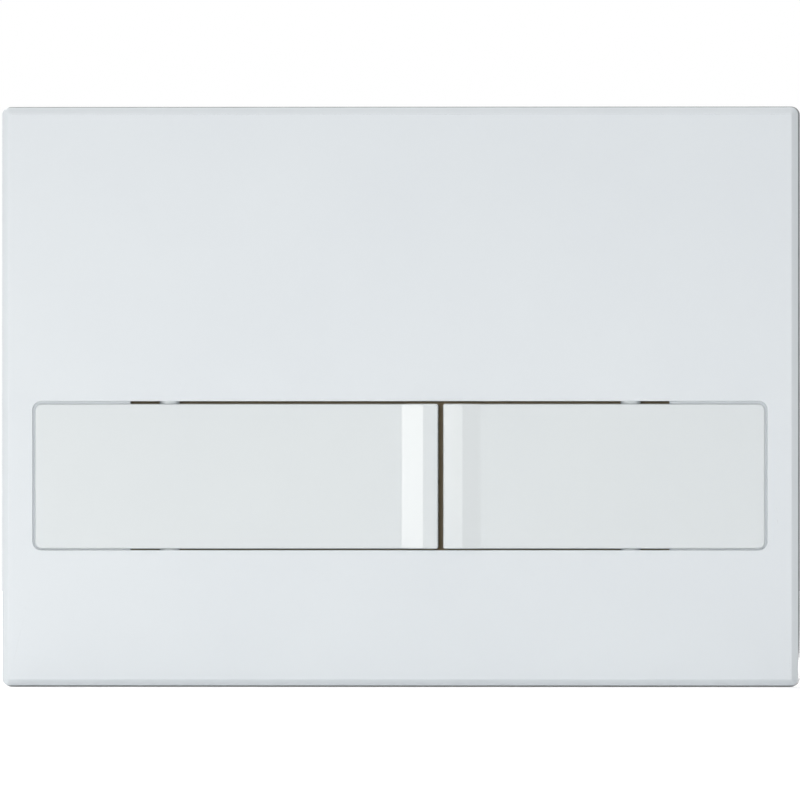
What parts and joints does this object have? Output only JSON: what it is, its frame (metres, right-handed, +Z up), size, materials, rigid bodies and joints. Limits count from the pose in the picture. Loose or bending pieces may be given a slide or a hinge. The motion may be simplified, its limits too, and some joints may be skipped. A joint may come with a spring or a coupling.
{
  "type": "flush button plate",
  "caption": "White dual-flush button plate for a built-in cistern: landscape cover, long low window, rocker buttons with raised lips at an off-centre split, frame and push rods behind.",
  "frame": {"origin": "middle of the cover's rear rim, in the plane of the finished wall", "axes": "+X to the right as seen from the room, +Y into the wall, +Z up"},
  "size_m": [0.22, 0.0862, 0.16],
  "materials": {
    "white_plastic": "gloss",
    "frame_plastic": "satin",
    "plunger_plastic": "satin",
    "zinc_plated_steel": "satin",
    "spring_steel": "drawn wire",
    "rubber": "matt"
  },
  "bodies": {
    "fixed_plate": {"cover_plate": "white_plastic", "mounting_frame": "frame_plastic", "fixing_studs": "zinc_plated_steel", "clamp_washers": "zinc_plated_steel", "clamp_nuts": "zinc_plated_steel", "full_flush_bumper": "rubber", "full_flush_spring": "spring_steel", "half_flush_bumper": "rubber", "half_flush_spring": "spring_steel"},
    "full_flush_rocker": {"full_flush_button": "white_plastic"},
    "full_flush_plunger": {"full_flush_tappet": "plunger_plastic", "full_flush_push_rod": "plunger_plastic", "full_flush_lock_nut": "plunger_plastic"},
    "half_flush_rocker": {"half_flush_button": "white_plastic"},
    "half_flush_plunger": {"half_flush_tappet": "plunger_plastic", "half_flush_push_rod": "plunger_plastic", "half_flush_lock_nut": "plunger_plastic"}
  },
  "joints": [
    {"name": "full_flush_hinge", "type": "hinge", "parent": "fixed_plate", "child": "full_flush_rocker", "pos_m": [-0.0635, -0.0081, -0.0218], "axis": [0, 0, 1], "range_deg": [0, 6], "stiffness_Nm_per_rad": 0.8, "springref_deg": -7.45},
    {"name": "full_flush_slide", "type": "slide", "parent": "fixed_plate", "child": "full_flush_plunger", "axis": [0, 1, 0], "range_m": [0, 0.00385], "deforming": ["full_flush_spring"]},
    {"name": "half_flush_hinge", "type": "hinge", "parent": "fixed_plate", "child": "half_flush_rocker", "pos_m": [0.0635, -0.0081, -0.0218], "axis": [0, 0, -1], "range_deg": [0, 6], "stiffness_Nm_per_rad": 0.8, "springref_deg": -7.45},
    {"name": "half_flush_slide", "type": "slide", "parent": "fixed_plate", "child": "half_flush_plunger", "axis": [0, 1, 0], "range_m": [0, 0.00385], "deforming": ["half_flush_spring"]}
  ],
  "couplings": [
    {"joint": "full_flush_slide", "follows": "full_flush_hinge", "m_per_rad": 0.0365},
    {"joint": "half_flush_slide", "follows": "half_flush_hinge", "m_per_rad": 0.0365}
  ]
}
